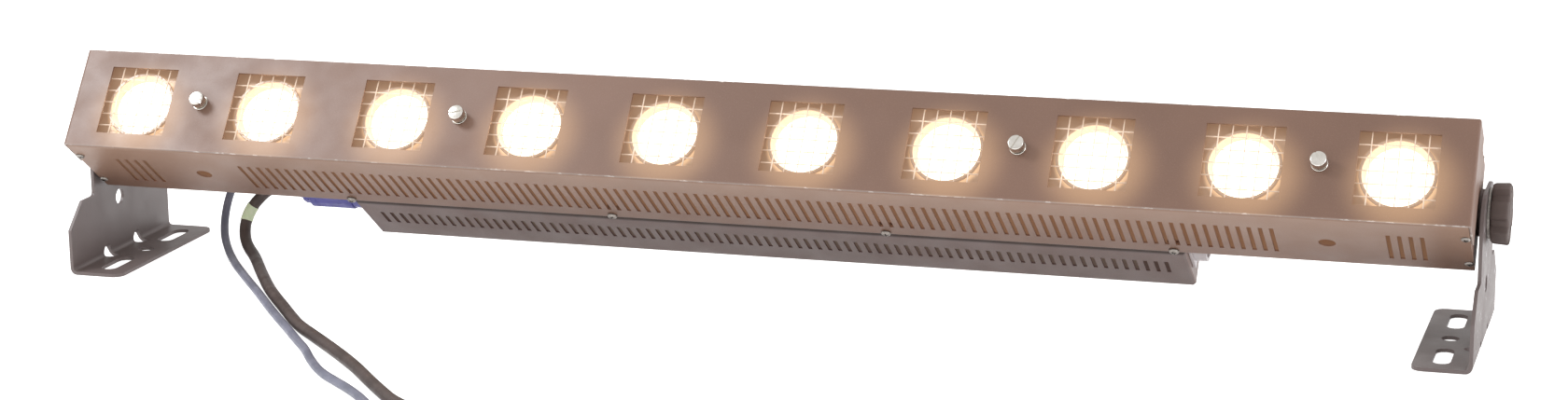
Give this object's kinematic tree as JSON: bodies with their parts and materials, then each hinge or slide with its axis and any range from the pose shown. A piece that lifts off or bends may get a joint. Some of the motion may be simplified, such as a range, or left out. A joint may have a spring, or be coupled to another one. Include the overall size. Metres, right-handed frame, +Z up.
{
  "type": "stage light bar",
  "caption": "Tilting stage light bar: reflector lamps behind guarded windows in a vented sheet-metal batten with a dimmer box behind and two swivel brackets.",
  "frame": {"origin": "on the floor, under the middle of the bar's tilt axis", "axes": "+X along the bar towards the outlet end, +Y towards the back of the brackets (the lamps face -Y and up), +Z up"},
  "size_m": [1.036, 0.5641, 0.1601],
  "materials": {
    "powder_coat": "fine-textured satin powder coat, worn at the edges",
    "tray_steel": "satin",
    "nickel": "nickel plate",
    "lamp_glass": "lit reflector lamp with a clear front glass",
    "ceramic": "unglazed ceramic",
    "black_plastic": "matt moulded",
    "blue_plastic": "semi-gloss moulded",
    "grey_plastic": "semi-gloss moulded",
    "board_green": "solder mask",
    "aluminium": "extruded",
    "friction_disc": "matt",
    "black_sheath": "matt",
    "grey_sheath": "satin"
  },
  "bodies": {
    "housing": {"housing_channel": "powder_coat", "lamp_tray": "tray_steel", "left_end_cap": "powder_coat", "right_end_cap": "powder_coat", "lamp_01": "lamp_glass", "lamp_02": "lamp_glass", "lamp_03": "lamp_glass", "lamp_04": "lamp_glass", "lamp_05": "lamp_glass", "lamp_06": "lamp_glass", "lamp_07": "lamp_glass", "lamp_08": "lamp_glass", "lamp_09": "lamp_glass", "lamp_10": "lamp_glass", "lampholder_01": "ceramic", "lampholder_02": "ceramic", "lampholder_03": "ceramic", "lampholder_04": "ceramic", "lampholder_05": "ceramic", "lampholder_06": "ceramic", "lampholder_07": "ceramic", "lampholder_08": "ceramic", "lampholder_09": "ceramic", "lampholder_10": "ceramic", "electronics_cover": "powder_coat", "cover_screw_1": "nickel", "cover_screw_2": "nickel", "cover_screw_3": "nickel", "cover_screw_4": "nickel", "dimmer_board": "board_green", "heatsink": "aluminium", "mains_inlet": "blue_plastic", "data_inlet": "nickel", "mains_outlet": "grey_plastic", "data_outlet": "nickel", "left_friction_disc": "friction_disc", "right_friction_disc": "friction_disc", "mains_twist_plug": "blue_plastic", "mains_lead": "black_sheath", "mains_lead_coil": "black_sheath", "wall_plug": "black_plastic", "data_plug_near": "nickel", "data_lead": "grey_sheath", "data_lead_coil": "grey_sheath", "data_plug_far": "nickel"},
    "front_panel": {"front_panel": "powder_coat", "guard_strip": "tray_steel"},
    "thumb_screw_1": {"thumb_screw_1": "nickel"},
    "thumb_screw_2": {"thumb_screw_2": "nickel"},
    "thumb_screw_3": {"thumb_screw_3": "nickel"},
    "thumb_screw_4": {"thumb_screw_4": "nickel"},
    "left_bracket": {"left_bracket": "powder_coat", "left_washer": "nickel"},
    "right_bracket": {"right_bracket": "powder_coat", "right_washer": "nickel"},
    "left_knob": {"left_knob": "black_plastic"},
    "right_knob": {"right_knob": "black_plastic"}
  },
  "joints": [
    {"name": "left_bracket_tilt", "type": "hinge", "parent": "housing", "child": "left_bracket", "pos_m": [-0.50265, 0, 0.0898], "axis": [1, 0, 0], "continuous": true},
    {"name": "right_bracket_tilt", "type": "hinge", "parent": "housing", "child": "right_bracket", "pos_m": [0.50265, 0, 0.0898], "axis": [1, 0, 0], "continuous": true},
    {"name": "left_knob_turn", "type": "hinge", "parent": "housing", "child": "left_knob", "pos_m": [-0.512, 0, 0.0898], "axis": [1, 0, 0], "continuous": true},
    {"name": "right_knob_turn", "type": "hinge", "parent": "housing", "child": "right_knob", "pos_m": [0.512, 0, 0.0898], "axis": [1, 0, 0], "continuous": true},
    {"name": "front_panel_off", "type": "slide", "parent": "housing", "child": "front_panel", "axis": [0, -0.8013, 0.5983], "range_m": [0, 0.08]},
    {"name": "thumb_screw_1_turn", "type": "hinge", "parent": "front_panel", "child": "thumb_screw_1", "pos_m": [-0.4, -0.05868, 0.12988], "axis": [0, -0.8013, 0.5983], "continuous": true},
    {"name": "thumb_screw_2_turn", "type": "hinge", "parent": "front_panel", "child": "thumb_screw_2", "pos_m": [-0.2, -0.05868, 0.12988], "axis": [0, -0.8013, 0.5983], "continuous": true},
    {"name": "thumb_screw_3_turn", "type": "hinge", "parent": "front_panel", "child": "thumb_screw_3", "pos_m": [0.2, -0.05868, 0.12988], "axis": [0, -0.8013, 0.5983], "continuous": true},
    {"name": "thumb_screw_4_turn", "type": "hinge", "parent": "front_panel", "child": "thumb_screw_4", "pos_m": [0.4, -0.05868, 0.12988], "axis": [0, -0.8013, 0.5983], "continuous": true}
  ]
}
